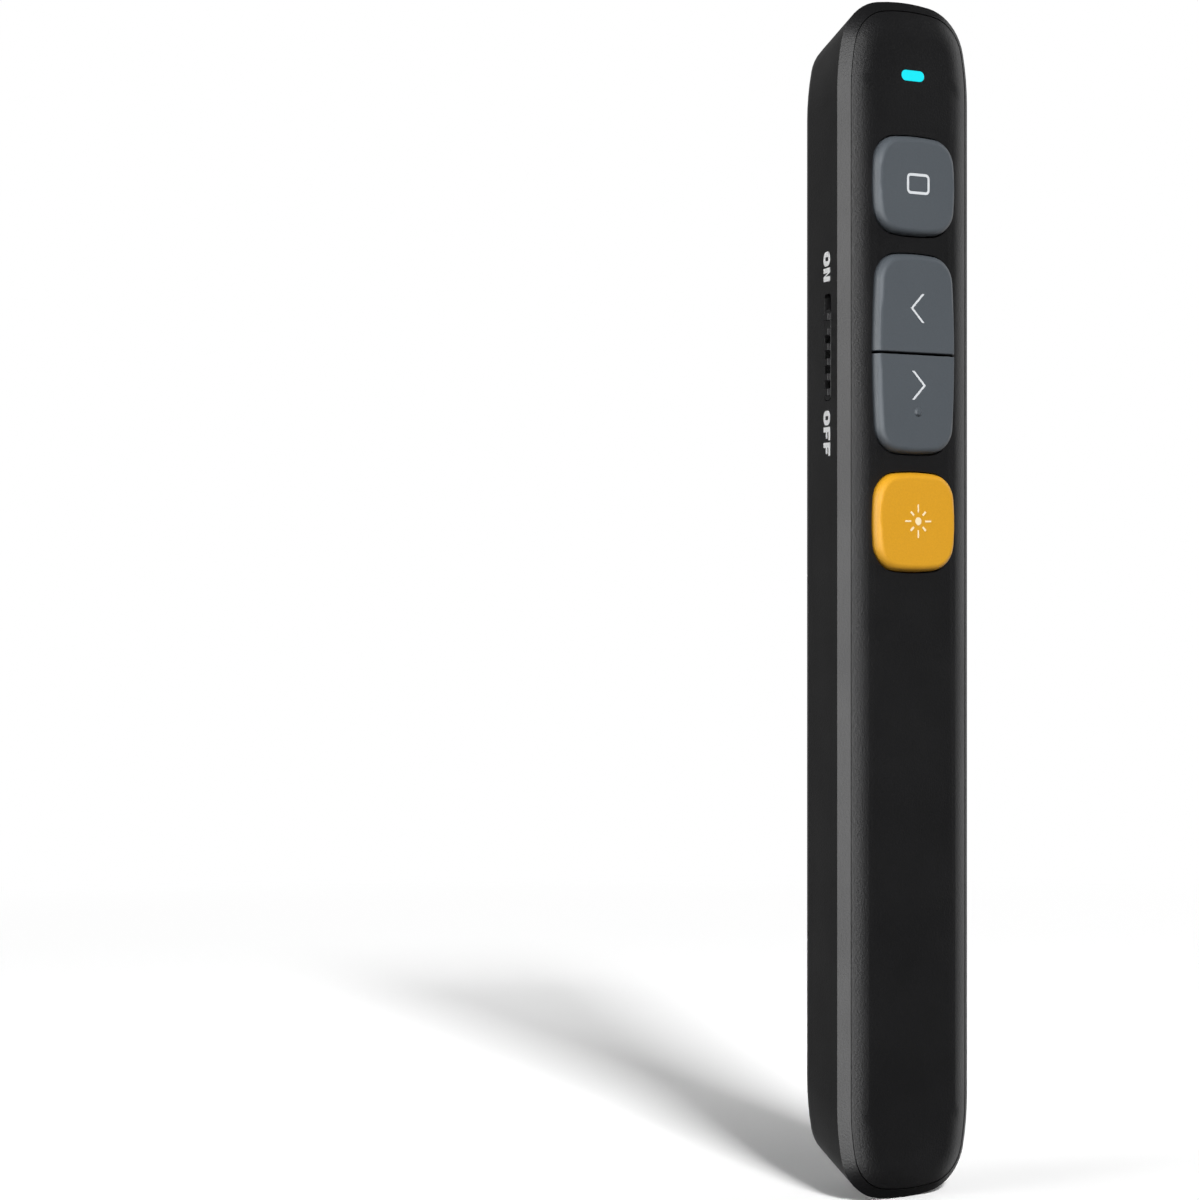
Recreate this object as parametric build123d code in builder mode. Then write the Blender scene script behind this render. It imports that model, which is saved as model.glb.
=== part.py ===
"""Wireless presentation clicker: a slim hand-held remote with four keys, a laser and a USB receiver.

It stands on its lower end: X runs across it, Y from the key face (-Y) to the back (+Y), and Z up
its length to the laser end.  The origin is the bottom centre of its box.  Heights called "height"
are measured from the flat back towards the key face, and places called "place" are measured along
the length from the middle, positive towards the laser end.  All sizes are in millimetres.
"""

import os
from math import asin, atan, cos, degrees, pi, radians, sin, sqrt, tan

from build123d import *

os.makedirs("parts", exist_ok=True)

# ---- Casing -------------------------------------------------------------------------------
body_width = 20.2  # across the widest edge
body_depth = 14.3  # flat back to flat key face
rim_height = 12.4  # the widest edge, above the flat back
draft_angle = 18.0  # sides and ends lean in towards the back
wall = 1.6
crown_radius = 28.0  # the gently crowned ends
corner_radius = 6.5
corner_share = 0.85  # the most that a corner takes of half the width, where the back narrows
cheek_radius = 30.0  # the sides easing into the corners
cheek_angle = 12.0
side_round_radius = 3.9  # the sides rolling into the flat back
end_round_radius = 2.0
round_steps = 4
bevel_width = 1.2  # the slanted band round the key face
bevel_height = 1.1
seam_gap = 0.1
cover_roll_width = 3.2  # the rolled edge of the front cover
snap_count = 4  # snap hooks down each side of the front cover, and one more above the side controls
snap_pitch = 24.0
snap_offset = 2.5  # above the middle of a key
snap_length = 3.6
snap_depth = 1.5
snap_thickness = 0.7
snap_nose = 0.4
snap_nose_height = 0.9
post_width = 3.2
rib_thickness = 1.2

# ---- Keys ---------------------------------------------------------------------------------
key_side_room = 3.95  # from the casing's widest edge to the keys
key_length = 12.0
key_bow = 0.5  # how far each side of a key bulges
key_corner_radius = 3.4
key_rise = 1.0
key_edge_width = 0.85  # the rounded edge, seen from the front
key_edge_steps = 3
key_gap = 0.15
key_travel = 0.4
key_wall = 1.1
key_flange = 0.65
key_flange_thickness = 0.8
key_stem_width = 2.6
key_cavity_inset = 1.9  # keeps the wall inside the round corners
key_pitch = 20.3  # from a key of its own to the middle of the page keys
page_keys_length = 24.2
page_keys_split = 0.3
bump_diameter = 1.1
bump_rise = 0.25
bump_offset = 7.0  # below the middle of the page keys

# ---- Indicator, laser ---------------------------------------------------------------------
lens_width = 3.5
lens_height = 1.3
lens_offset = 13.4  # above the blank screen key
lens_flange = 0.7
lens_led_gap = 0.8
laser_diameter = 5.0
laser_length = 10.5
laser_height = 4.6
laser_aperture = 3.2
laser_window_thickness = 0.8
laser_wall = 0.8  # what is left of the end wall in front of the window
nose_length = 9.1  # indicator to the laser end

# ---- Side controls ------------------------------------------------------------------------
side_height = 9.2  # both side slots, on the outer surface
volume_offset = 1.2  # above the middle of the page keys
volume_slot_length = 24.4
volume_slot_width = 2.8
volume_key_gap = 0.3
volume_key_rise = 0.5
volume_rock_angle = 1.5
volume_flange = 0.6
volume_flange_thickness = 0.5
volume_rock_room = 0.13  # left between the wall and the flange of the rocked key
trunnion_diameter = 1.0
trunnion_length = 4.4
volume_switch_spacing = 15.0
power_offset = 0.8  # above the middle of the page keys
power_slot_length = 12.9
power_slot_width = 2.3
power_travel = 1.8
power_knob_rise = 0.35
power_rib_count = 6

# ---- Battery and its door -----------------------------------------------------------------
cell_diameter = 10.3
cell_length = 44.5
cell_height = 7.0  # the cell's axis above the flat back
spring_room = 3.8  # below the cell
contact_room = 3.3  # above the cell
cell_nub_diameter = 3.8
cell_nub_length = 1.2
sleeve_thickness = 0.1
door_overlap = 1.0  # how far the door runs past the partition above the cell
door_hook_room = 4.45  # between the door and the receiver's tunnel
door_corner_margin = 0.5  # the straight stretch left between the door's round corners, halved
door_side_height = 2.7
door_gap = 0.15
latch_width = 4.6
latch_depth = 2.2
latch_travel = 0.8
hook_width = 1.6
hook_spacing = 3.2
hook_reach = 1.6
hook_thickness = 1.0
scoop_width = 6.8
scoop_height = 1.6
scoop_depth = 0.75

# ---- Circuit board ------------------------------------------------------------------------
board_height = 7.2  # underside of the board
board_thickness = 1.0
board_side_room = 4.1  # from the casing's widest edge to the board's side
board_end_gap = 1.25  # above the partition
board_beyond_lens = 2.6
switch_size = 4.5
switch_height = 1.6
plunger_width = 2.0
screw_diameter = 1.4
screw_head_diameter = 2.6
screw_head_height = 0.8
screw_edge_distance = 1.4  # from the board's side
screw_offset = 4.0  # above the laser key, and as far again above the blank screen key
fit_clearance = 0.05

# ---- USB receiver -------------------------------------------------------------------------
receiver_height = 7.5  # its axis above the flat back
receiver_cap_width = 13.2
receiver_cap_height = 5.6
receiver_cap_length = 7.6
receiver_gap = 0.15
plug_width = 12.0
plug_height = 4.5
plug_length = 14.0
plug_wall = 0.3

# ---- Sizes and places worked out from those above ------------------------------------------
# The casing is as long as what it holds: receiver, door hooks, spring, cell, contact, keys, nose.
tunnel_wall = 1.0
tunnel_corner_radius = 2.0
partition_drop = 0.8  # from the door's lower edge to the partition under the spring
key_start = 2.9  # from the door's upper edge to the laser key's middle
receiver_length = receiver_cap_length + plug_length + receiver_gap + tunnel_wall
door_length = spring_room - partition_drop + cell_length + contact_room + door_overlap
keys_length = key_start + 2 * key_pitch + lens_offset
body_length = receiver_length + door_hook_room + door_length + keys_length + nose_length
middle_z = body_length / 2
door_bottom = receiver_length + door_hook_room - middle_z
lower_partition = door_bottom - partition_drop
cell_bottom = lower_partition + spring_room
cell_top = cell_bottom + cell_length
upper_partition = cell_top + contact_room
door_top = upper_partition + door_overlap
laser_key_place = door_top + key_start
page_keys_place = laser_key_place + key_pitch
blank_key_place = page_keys_place + key_pitch
bump_place = page_keys_place - bump_offset
lens_place = blank_key_place + lens_offset
volume_place = page_keys_place + volume_offset
power_place = page_keys_place + power_offset
board_bottom = upper_partition + board_end_gap
board_top = lens_place + board_beyond_lens
board_width = body_width - 2 * board_side_room
key_width = body_width - 2 * key_side_room
board_face = board_height + board_thickness
screw_x = board_width / 2 - screw_edge_distance
screw_spots = ((-screw_x, laser_key_place + screw_offset), (screw_x, blank_key_place + 1.5 * screw_offset))
volume_rock_drop = volume_slot_length / 2 * tan(radians(volume_rock_angle))
volume_flange_clearance = volume_rock_room + volume_rock_drop
back_y = (body_depth + key_rise + bump_rise) / 2
seam_height = rim_height + bevel_height
lean = tan(radians(draft_angle))
side_x = body_width / 2 - (rim_height - side_height) * lean
wall_normal = wall * cos(radians(draft_angle))
door_half_width = body_width / 2 - (rim_height - door_side_height) * lean + 0.4
door_corner_radius = door_half_width - door_corner_margin


def level(height):
    """The plane at a height above the flat back, seen from the key face, its middle at place 0."""
    return Plane(origin=(0, back_y - height, middle_z), x_dir=(1, 0, 0), z_dir=(0, -1, 0))


def crosswise(place):
    """The cross-section plane at a place: its y is the height above the back, its z points down."""
    return Plane(origin=(0, back_y, middle_z + place), x_dir=(1, 0, 0), z_dir=(0, 0, -1))


def lengthwise(x):
    """The lengthwise plane at x: its x is the place, its y the height above the back."""
    return Plane(origin=(x, back_y, middle_z), x_dir=(0, 0, 1), z_dir=(1, 0, 0))


def side_plane(side, place, depth=0.0):
    """A plane on the leaning side wall (side 1 is +X), depth measured inwards from its surface."""
    normal = Vector(side * cos(radians(draft_angle)), sin(radians(draft_angle)), 0)
    origin = Vector(side * side_x, back_y - side_height, middle_z + place) - normal * depth
    return Plane(origin=origin, x_dir=(0, 0, 1), z_dir=normal)


def outline(inset=0.0, side_lean=0.0, end_lean=0.0):
    """The outline seen from the front, drawn in by an inset: crowned ends, round corners.

    At its widest edge nothing leans.  Further back the sides and the ends have leaned in.
    """
    half_width = body_width / 2 - inset - side_lean
    crown = crown_radius - inset
    cheek = cheek_radius - inset
    cheek_dip = cheek * (1 - cos(radians(cheek_angle)))
    corner = min(corner_radius - inset, corner_share * (half_width - cheek_dip))
    corner_x = half_width - cheek + (cheek - corner) * cos(radians(cheek_angle))
    crown_angle = degrees(asin(corner_x / (crown - corner)))
    crown_y = body_length / 2 - crown_radius - end_lean
    corner_y = crown_y + (crown - corner) * cos(radians(crown_angle))
    cheek_y = corner_y - (cheek - corner) * sin(radians(cheek_angle))
    with BuildSketch() as shape:
        with BuildLine():
            Line((half_width, 0), (half_width, cheek_y))
            CenterArc((half_width - cheek, cheek_y), cheek, 0, cheek_angle)
            CenterArc((corner_x, corner_y), corner, cheek_angle, 90 - crown_angle - cheek_angle)
            CenterArc((0, crown_y), crown, 90 - crown_angle, crown_angle)
            mirror(about=Plane.YZ)
            mirror(about=Plane.XZ)
        make_face()
    return shape.sketch


def leaned(height, floor, radius):
    """How far a wall has come in at a height: its draft, and its roll into a floor at the bottom."""
    centre = floor + radius
    if height >= centre - radius * sin(radians(draft_angle)):
        return (rim_height - height) * lean
    reach = (rim_height - centre) * lean + radius / cos(radians(draft_angle))
    return reach - sqrt(radius**2 - (centre - height) ** 2)


def tapered_core(inset=0.0, steps=round_steps):
    """The casing's form below its widest edge, drawn in all round by an inset."""
    side_radius = side_round_radius - inset
    end_radius = max(end_round_radius - inset, end_round_radius / 4)
    swing = radians(90 - draft_angle) / steps
    heights = [inset + side_radius * (1 - cos(step * swing)) for step in range(steps + 1)]
    with BuildPart() as core:
        for height in [*heights, rim_height]:
            with BuildSketch(level(height)):
                add(outline(inset, leaned(height, inset, side_radius), leaned(height, inset, end_radius)))
        loft(ruled=True)
    return core.part


def key_face(length, inset=0.0):
    """A key's outline: four gently bowed sides and large round corners."""
    half_width = key_width / 2 - key_bow - inset
    half_length = length / 2 - key_bow - inset
    with BuildSketch() as shape:
        with BuildLine():
            for x, y in ((1, 1), (-1, 1), (-1, -1), (1, -1)):
                if x == y:
                    ThreePointArc(
                        (x * half_width, y * half_length),
                        (0, y * (half_length + key_bow)),
                        (-x * half_width, y * half_length),
                    )
                else:
                    ThreePointArc(
                        (x * half_width, y * half_length),
                        (x * (half_width + key_bow), 0),
                        (x * half_width, -y * half_length),
                    )
        make_face()
        fillet(shape.vertices(), radius=key_corner_radius - inset)
    return shape.sketch


# ---- Rear housing -------------------------------------------------------------------------
# A drafted shell with a slanted band round the key face, open to the front for the cover and
# to the back for the battery, with ribs, screw posts and the receiver's tunnel inside.
casing = tapered_core()
cavity = tapered_core(wall, 1)
cover_seat = rim_height
bevel_slant = degrees(atan(bevel_width / bevel_height))
partition_top = cell_height + 3.8
notch_half_width = 4.4
notch_height = 3.5
strap_height = 9.3
strap_width = 1.4
strap_thickness = 0.25
strap_x = body_width / 2 - (rim_height - strap_height + strap_width / 2) * lean - wall - 0.1
cap_bay_length = receiver_cap_length + receiver_gap
plug_place = body_length / 2 - receiver_cap_length
plug_bay_end = plug_place - plug_length - receiver_gap
window_radius = laser_diameter / 2
window_front = body_length / 2 - (rim_height - laser_height + window_radius) * lean - laser_wall
trunnion_depth = wall_normal + volume_flange_clearance + volume_flange_thickness * 0.65
saddle_thickness = 0.55
saddle_length = 2.6
volume_flange_width = volume_slot_width + volume_flange

snap_places = [laser_key_place + snap_offset - snap_pitch * count for count in range(snap_count)]
snap_places.append(blank_key_place + snap_offset)
snap_tip = rim_height - snap_depth
snap_outer_x = body_width / 2 - wall - snap_depth * lean - fit_clearance
snap_inner_x = snap_outer_x - snap_thickness
snap_nose_x = snap_outer_x + snap_nose
snap_pocket = (
    (snap_inner_x, snap_tip - fit_clearance),
    (snap_nose_x + seam_gap, snap_tip - fit_clearance),
    (snap_nose_x + seam_gap, snap_tip + snap_nose_height + seam_gap),
    (snap_inner_x, snap_tip + snap_nose_height + seam_gap),
)
snap_hook = (
    (snap_inner_x, snap_tip),
    (snap_outer_x, snap_tip),
    (snap_nose_x, snap_tip + snap_nose_height / 2),
    (snap_outer_x, snap_tip + snap_nose_height),
    (snap_outer_x, rim_height + wall / 4),
    (snap_inner_x, rim_height + wall / 4),
)

trunnion_plane = Plane(
    origin=side_plane(1, volume_place, trunnion_depth).origin,
    x_dir=(0, 0, 1),
    z_dir=side_plane(1, volume_place).y_dir,
)

with BuildPart() as inner_features:
    with BuildSketch(crosswise(upper_partition + rib_thickness)):
        with Locations((0, partition_top / 2)):
            Rectangle(body_width, partition_top)
        with Locations((0, notch_height / 2)):
            Rectangle(2 * notch_half_width, notch_height, mode=Mode.SUBTRACT)
        with Locations((-strap_x, strap_height)):
            Rectangle(2 * strap_thickness + 0.4, strap_width + 0.4, mode=Mode.SUBTRACT)
    extrude(amount=rib_thickness)
    with BuildSketch(crosswise(lower_partition)):
        with Locations((0, rim_height / 2)):
            Rectangle(body_width, rim_height)
        with Locations((0, notch_height / 2)):
            Rectangle(2 * notch_half_width + 2, notch_height, mode=Mode.SUBTRACT)
    extrude(amount=rib_thickness)
    with BuildSketch(crosswise(-plug_bay_end + tunnel_wall)):
        with Locations((0, receiver_height)):
            RectangleRounded(
                receiver_cap_width + 2 * tunnel_wall,
                receiver_cap_height + 2 * tunnel_wall,
                tunnel_corner_radius,
            )
    extrude(amount=body_length / 2)
    with BuildSketch(level(board_height)):
        with Locations(*screw_spots):
            Rectangle(post_width, post_width)
    extrude(amount=-board_height)
    add(tapered_core(wall / 2, 1), mode=Mode.INTERSECT)


def snap_rows(shape_of_one, length):
    """The cover's snap hooks, or the pockets they catch in: a row of one cross-section on each side."""
    with BuildPart() as rows:
        for place in snap_places:
            for side in (-1, 1):
                with BuildSketch(crosswise(place + length / 2)):
                    with BuildLine():
                        Polyline(*[(side * x, height) for x, height in shape_of_one], close=True)
                    make_face()
                extrude(amount=length)
    return rows.part


def door_shape(inset=0.0):
    """The battery door's outline on the back."""
    with BuildSketch() as shape:
        with Locations((0, (door_top + door_bottom) / 2)):
            RectangleRounded(
                2 * (door_half_width - inset),
                door_top - door_bottom - 2 * inset,
                door_corner_radius - inset,
            )
    return shape.sketch


with BuildPart() as rear_housing:
    add(casing)
    with BuildSketch(level(rim_height)):
        add(outline())
    extrude(amount=bevel_height, taper=bevel_slant)
    add(cavity, mode=Mode.SUBTRACT)
    add(snap_rows(snap_pocket, snap_length + 2 * seam_gap), mode=Mode.SUBTRACT)
    add(inner_features.part)
    # The saddles that hold the volume key's trunnions
    saddle_y = (volume_flange_width + saddle_thickness) / 2 + 0.08
    with BuildSketch(side_plane(1, volume_place, wall_normal - 0.2)):
        with Locations((0, saddle_y), (0, -saddle_y)):
            Rectangle(saddle_length, saddle_thickness)
    extrude(amount=-(trunnion_depth + 0.2 - wall_normal + 0.2))
    with BuildSketch(trunnion_plane):
        Circle(trunnion_diameter / 2 + fit_clearance)
    extrude(amount=trunnion_length / 2 + 0.3, both=True, mode=Mode.SUBTRACT)
    # The seat of the front cover
    with BuildSketch(level(cover_seat)):
        add(outline(bevel_width))
    extrude(amount=body_depth, mode=Mode.SUBTRACT)
    # The battery opening and its finger scoop
    with BuildSketch(level(door_side_height)):
        add(door_shape())
    extrude(amount=-body_depth, mode=Mode.SUBTRACT)
    scoop_radius = ((scoop_width / 2) ** 2 + scoop_height**2) / (2 * scoop_height)
    scoop_slope = atan(scoop_depth / scoop_height)
    scoop_plane = Plane(
        origin=(0, back_y, middle_z + door_top + scoop_height),
        x_dir=(1, 0, 0),
        z_dir=(0, cos(scoop_slope), -sin(scoop_slope)),
    )
    with BuildSketch(scoop_plane):
        with Locations((0, scoop_radius)):
            Circle(scoop_radius)
    extrude(amount=body_depth, mode=Mode.SUBTRACT)
    # The two side slots
    with BuildSketch(side_plane(1, volume_place)):
        SlotOverall(volume_slot_length, volume_slot_width)
    extrude(amount=-2 * wall, mode=Mode.SUBTRACT)
    with BuildSketch(side_plane(-1, power_place)):
        RectangleRounded(power_slot_length, power_slot_width, power_slot_width / 4)
    extrude(amount=-2 * wall, mode=Mode.SUBTRACT)
    # The laser's window seat and aperture
    with BuildSketch(crosswise(window_front)):
        with Locations((0, laser_height)):
            Circle(window_radius + fit_clearance)
    extrude(amount=2 * wall, mode=Mode.SUBTRACT)
    with BuildSketch(crosswise(body_length / 2)):
        with Locations((0, laser_height)):
            Circle(laser_aperture / 2)
    extrude(amount=4 * wall, mode=Mode.SUBTRACT)
    # The receiver's bay, open at the lower end
    with BuildSketch(crosswise(-body_length / 2)):
        with Locations((0, receiver_height)):
            SlotOverall(receiver_cap_width + 2 * receiver_gap, receiver_cap_height + 2 * receiver_gap)
    extrude(amount=-cap_bay_length, mode=Mode.SUBTRACT)
    with BuildSketch(crosswise(-plug_bay_end)):
        with Locations((0, receiver_height)):
            Rectangle(plug_width + 2 * receiver_gap, plug_height + 2 * receiver_gap)
    extrude(amount=body_length / 2, mode=Mode.SUBTRACT)
    # Pilot holes in the screw posts
    with BuildSketch(level(board_height)):
        with Locations(*screw_spots):
            Circle(screw_diameter / 2 + fit_clearance)
    extrude(amount=-(board_height - 2 * wall), mode=Mode.SUBTRACT)
rear_housing.part.label = "rear_housing"
export_step(rear_housing.part, "parts/rear_housing.step")


# ---- Front cover --------------------------------------------------------------------------
# A plate let into the housing's rim, its edge rolled down all round to meet the slanted band.
cover_inset = bevel_width + seam_gap
roll_drop = body_depth - seam_height
roll_radius = (cover_roll_width**2 + roll_drop**2) / (2 * roll_drop)
roll_angle = asin(cover_roll_width / roll_radius)
roll_steps = 3

with BuildPart() as front_cover:
    with BuildSketch(level(cover_seat)):
        add(outline(cover_inset))
    extrude(amount=seam_height - cover_seat)
    for step in range(roll_steps + 1):
        swing = roll_angle * (1 - step / roll_steps)
        with BuildSketch(level(body_depth - roll_radius * (1 - cos(swing)))):
            add(outline(cover_inset + cover_roll_width - roll_radius * sin(swing)))
    loft(ruled=True)
    add(snap_rows(snap_hook, snap_length))
    with BuildSketch(level(cover_seat)):
        for place, length in (
            (blank_key_place, key_length),
            (page_keys_place, page_keys_length),
            (laser_key_place, key_length),
        ):
            with Locations((0, place)):
                add(key_face(length, -key_gap))
        with Locations((0, lens_place)):
            SlotOverall(lens_width, lens_height)
    extrude(amount=body_depth, mode=Mode.SUBTRACT)
front_cover.part.label = "front_cover"
export_step(front_cover.part, "parts/front_cover.step")


# ---- Keys ---------------------------------------------------------------------------------
# Each key is a hollow cap with a flange that the cover holds down, and a stem that rests on
# the plunger of its switch.
flange_top = cover_seat - fit_clearance
flange_base = flange_top - key_flange_thickness
key_top = body_depth + key_rise
plunger_rise = 0.8
stem_base = board_face + switch_height + plunger_rise


def whole_key_face(place):
    """The outline of a key of its own, as a function of its inset."""

    def face(inset):
        with BuildSketch() as shape:
            with Locations((0, place)):
                add(key_face(key_length, inset))
        return shape.sketch

    return face


def page_key_face(side):
    """The outline of one half of the page keys' pair: side 1 is the upper half."""

    def face(inset):
        with BuildSketch() as shape:
            with Locations((0, page_keys_place)):
                add(key_face(page_keys_length, inset))
            with Locations((0, page_keys_place + side * (page_keys_split + page_keys_length) / 2)):
                Rectangle(2 * key_width, page_keys_length, mode=Mode.INTERSECT)
        return shape.sketch

    return face


def make_key(face, place, length):
    """A key cap from its outline, whose edges round over as a quarter of an ellipse."""
    with BuildPart() as key:
        with BuildSketch(level(flange_base)):
            add(face(0))
        extrude(amount=body_depth - flange_base)
        for step in range(key_edge_steps + 1):
            swing = step * pi / 2 / key_edge_steps
            with BuildSketch(level(body_depth + key_rise * sin(swing))):
                add(face(key_edge_width * (1 - cos(swing))))
        loft(ruled=True)
        with BuildSketch(level(flange_base)):
            with Locations((0, place)):
                Rectangle(key_width + 2 * key_flange, length)
        extrude(amount=key_flange_thickness)
        with BuildSketch(level(flange_base)):
            with Locations((0, place)):
                Rectangle(key_width - 2 * key_cavity_inset, length - 2 * (key_cavity_inset + key_flange))
        extrude(amount=key_top - flange_base - key_wall, mode=Mode.SUBTRACT)
        with BuildSketch(level(stem_base)):
            with Locations((0, place)):
                Rectangle(key_stem_width, key_stem_width)
        extrude(amount=key_top - key_wall - stem_base)
    return key.part


half_page_key = page_keys_length / 4 + (key_flange + page_keys_split / 2) / 2
previous_key_place = page_keys_place + half_page_key
next_key_place = page_keys_place - half_page_key
whole_flange_length = key_length + 2 * key_flange
page_flange_length = page_keys_length / 2 + key_flange - page_keys_split / 2
blank_screen_key = make_key(whole_key_face(blank_key_place), blank_key_place, whole_flange_length)
laser_key = make_key(whole_key_face(laser_key_place), laser_key_place, whole_flange_length)
previous_key = make_key(page_key_face(1), previous_key_place, page_flange_length)
with BuildPart() as next_key:
    add(make_key(page_key_face(-1), next_key_place, page_flange_length))
    with BuildSketch(level(key_top - key_wall / 2)):
        with Locations((0, bump_place)):
            Circle(bump_diameter / 2)
    extrude(amount=key_wall / 2 + bump_rise)
    chamfer(next_key.faces().sort_by(Axis.Y)[0].edges(), length=bump_rise * 0.8)

key_places = {
    "blank_screen_key": blank_key_place,
    "previous_key": previous_key_place,
    "next_key": next_key_place,
    "laser_key": laser_key_place,
}
key_parts = {
    "blank_screen_key": blank_screen_key,
    "previous_key": previous_key,
    "next_key": next_key.part,
    "laser_key": laser_key,
}
for name, part in key_parts.items():
    part.label = name
    export_step(part, f"parts/{name}.step")

# The plunger of each key's switch goes down with its key
plunger_length = 1.3
for name, place in key_places.items():
    with BuildPart() as plunger:
        with BuildSketch(level(stem_base)):
            with Locations((0, place)):
                Rectangle(plunger_width, plunger_width)
        extrude(amount=-plunger_length)
    plunger.part.label = name.replace("_key", "_plunger")
    export_step(plunger.part, f"parts/{plunger.part.label}.step")


# ---- Indicator lens -----------------------------------------------------------------------
with BuildPart() as indicator_lens:
    with BuildSketch(level(cover_seat - fit_clearance)):
        with Locations((0, lens_place)):
            SlotOverall(lens_width - 0.06, lens_height - 0.06)
    extrude(amount=body_depth - cover_seat + fit_clearance)
    with BuildSketch(level(cover_seat - fit_clearance)):
        with Locations((0, lens_place)):
            Rectangle(lens_width + 2 * lens_flange, lens_height + 2 * lens_flange)
    extrude(amount=-lens_flange)
    with BuildSketch(level(cover_seat - lens_flange)):
        with Locations((0, lens_place)):
            Rectangle(lens_height, lens_height)
    extrude(amount=-(cover_seat - lens_flange - board_face - lens_led_gap))
indicator_lens.part.label = "indicator_lens"
export_step(indicator_lens.part, "parts/indicator_lens.step")


# ---- Laser --------------------------------------------------------------------------------
# A brass barrel that carries the diode and its collimating lens, behind a clear window.
barrel_front = window_front - laser_window_thickness - fit_clearance
barrel_bore = laser_diameter / 2 - 0.7
lens_stop = 1.0
collimator_thickness = 1.2
collimator_radius = 3.0
diode_radius = 1.65
diode_length = 2.2
diode_flange_radius = barrel_bore - fit_clearance
diode_flange_thickness = 0.6

with BuildPart() as laser_window:
    with BuildSketch(crosswise(window_front)):
        with Locations((0, laser_height)):
            Circle(window_radius)
    extrude(amount=laser_window_thickness)
laser_window.part.label = "laser_window"
export_step(laser_window.part, "parts/laser_window.step")

with BuildPart() as laser_barrel:
    with BuildSketch(crosswise(barrel_front)):
        with Locations((0, laser_height)):
            Circle(laser_diameter / 2)
    extrude(amount=laser_length)
    with BuildSketch(crosswise(barrel_front)):
        with Locations((0, laser_height)):
            Circle(laser_aperture / 2 - 0.2)
    extrude(amount=laser_length, mode=Mode.SUBTRACT)
    with BuildSketch(crosswise(barrel_front - lens_stop)):
        with Locations((0, laser_height)):
            Circle(barrel_bore)
    extrude(amount=laser_length, mode=Mode.SUBTRACT)
laser_barrel.part.label = "laser_barrel"
export_step(laser_barrel.part, "parts/laser_barrel.step")

with BuildPart() as laser_lens:
    with BuildSketch(crosswise(barrel_front - lens_stop - fit_clearance)):
        with Locations((0, laser_height)):
            Circle(barrel_bore - fit_clearance)
    extrude(amount=collimator_thickness)
    with Locations((0, back_y - laser_height, middle_z + barrel_front - lens_stop + collimator_radius / 2)):
        Sphere(collimator_radius, mode=Mode.INTERSECT)
laser_lens.part.label = "laser_lens"
export_step(laser_lens.part, "parts/laser_lens.step")

with BuildPart() as laser_diode:
    flange_front = barrel_front - laser_length + diode_flange_thickness
    with BuildSketch(crosswise(flange_front)):
        with Locations((0, laser_height)):
            Circle(diode_flange_radius)
    extrude(amount=diode_flange_thickness)
    with BuildSketch(crosswise(flange_front)):
        with Locations((0, laser_height)):
            Circle(diode_radius)
    extrude(amount=-diode_length)
laser_diode.part.label = "laser_diode"
export_step(laser_diode.part, "parts/laser_diode.step")


# ---- Volume key ---------------------------------------------------------------------------
# A rocker in the right side's slot, on two trunnions that snap into the housing's saddles.
volume_flange_depth = wall_normal + volume_flange_clearance
with BuildPart() as volume_key:
    with BuildSketch(side_plane(1, volume_place, volume_flange_depth)):
        SlotOverall(volume_slot_length - 2 * volume_key_gap, volume_slot_width - 2 * volume_key_gap)
    extrude(amount=volume_flange_depth + volume_key_rise)
    outer_face = volume_key.faces().filter_by(Axis(origin=(0, 0, 0), direction=side_plane(1, 0).z_dir))
    chamfer(outer_face.sort_by(Axis.X)[-1].edges(), length=volume_key_rise * 0.7)
    with BuildSketch(side_plane(1, volume_place, volume_flange_depth)):
        Rectangle(volume_slot_length + 2 * volume_flange, volume_flange_width)
    extrude(amount=-volume_flange_thickness)
    with BuildSketch(trunnion_plane):
        Circle(trunnion_diameter / 2)
    extrude(amount=trunnion_length / 2, both=True)
volume_key.part.label = "volume_key"
export_step(volume_key.part, "parts/volume_key.step")

# Two right-angle switches, their plungers riding on the rocker
volume_switch_depth = 2.6
volume_switch_height = 2.8
volume_switch_length = 4.4
volume_plunger_width = 1.3
volume_plunger_length = 1.5
volume_flange_inside = volume_flange_depth + volume_flange_thickness
volume_plunger_height = side_height + volume_flange_inside * sin(radians(draft_angle))
volume_plunger_gap = 0.28  # lets the rocker rock
volume_plunger_x = (
    side_x
    - (volume_flange_depth + volume_flange_thickness) * cos(radians(draft_angle))
    - volume_plunger_gap
)
volume_switch_places = (
    volume_place - volume_switch_spacing / 2,
    volume_place + volume_switch_spacing / 2,
)
with BuildPart() as volume_plungers:
    with BuildSketch(lengthwise(volume_plunger_x)):
        for place in volume_switch_places:
            with Locations((place, volume_plunger_height)):
                Rectangle(volume_plunger_width, volume_plunger_width)
    extrude(amount=-volume_plunger_length)
volume_plungers.part.label = "volume_plungers"
export_step(volume_plungers.part, "parts/volume_plungers.step")

with BuildPart() as volume_switches:
    switch_face_x = board_width / 2 - 0.3
    with BuildSketch(lengthwise(switch_face_x)):
        for place in volume_switch_places:
            with Locations((place, board_face + volume_switch_height / 2)):
                Rectangle(volume_switch_length, volume_switch_height)
    extrude(amount=-volume_switch_depth)
    with BuildSketch(lengthwise(switch_face_x)):
        for place in volume_switch_places:
            with Locations((place, volume_plunger_height)):
                Rectangle(volume_plunger_width + 0.3, volume_plunger_width + 0.3)
    extrude(amount=-volume_plunger_length, mode=Mode.SUBTRACT)
volume_switches.part.label = "volume_switches"
export_step(volume_switches.part, "parts/volume_switches.step")


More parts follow.
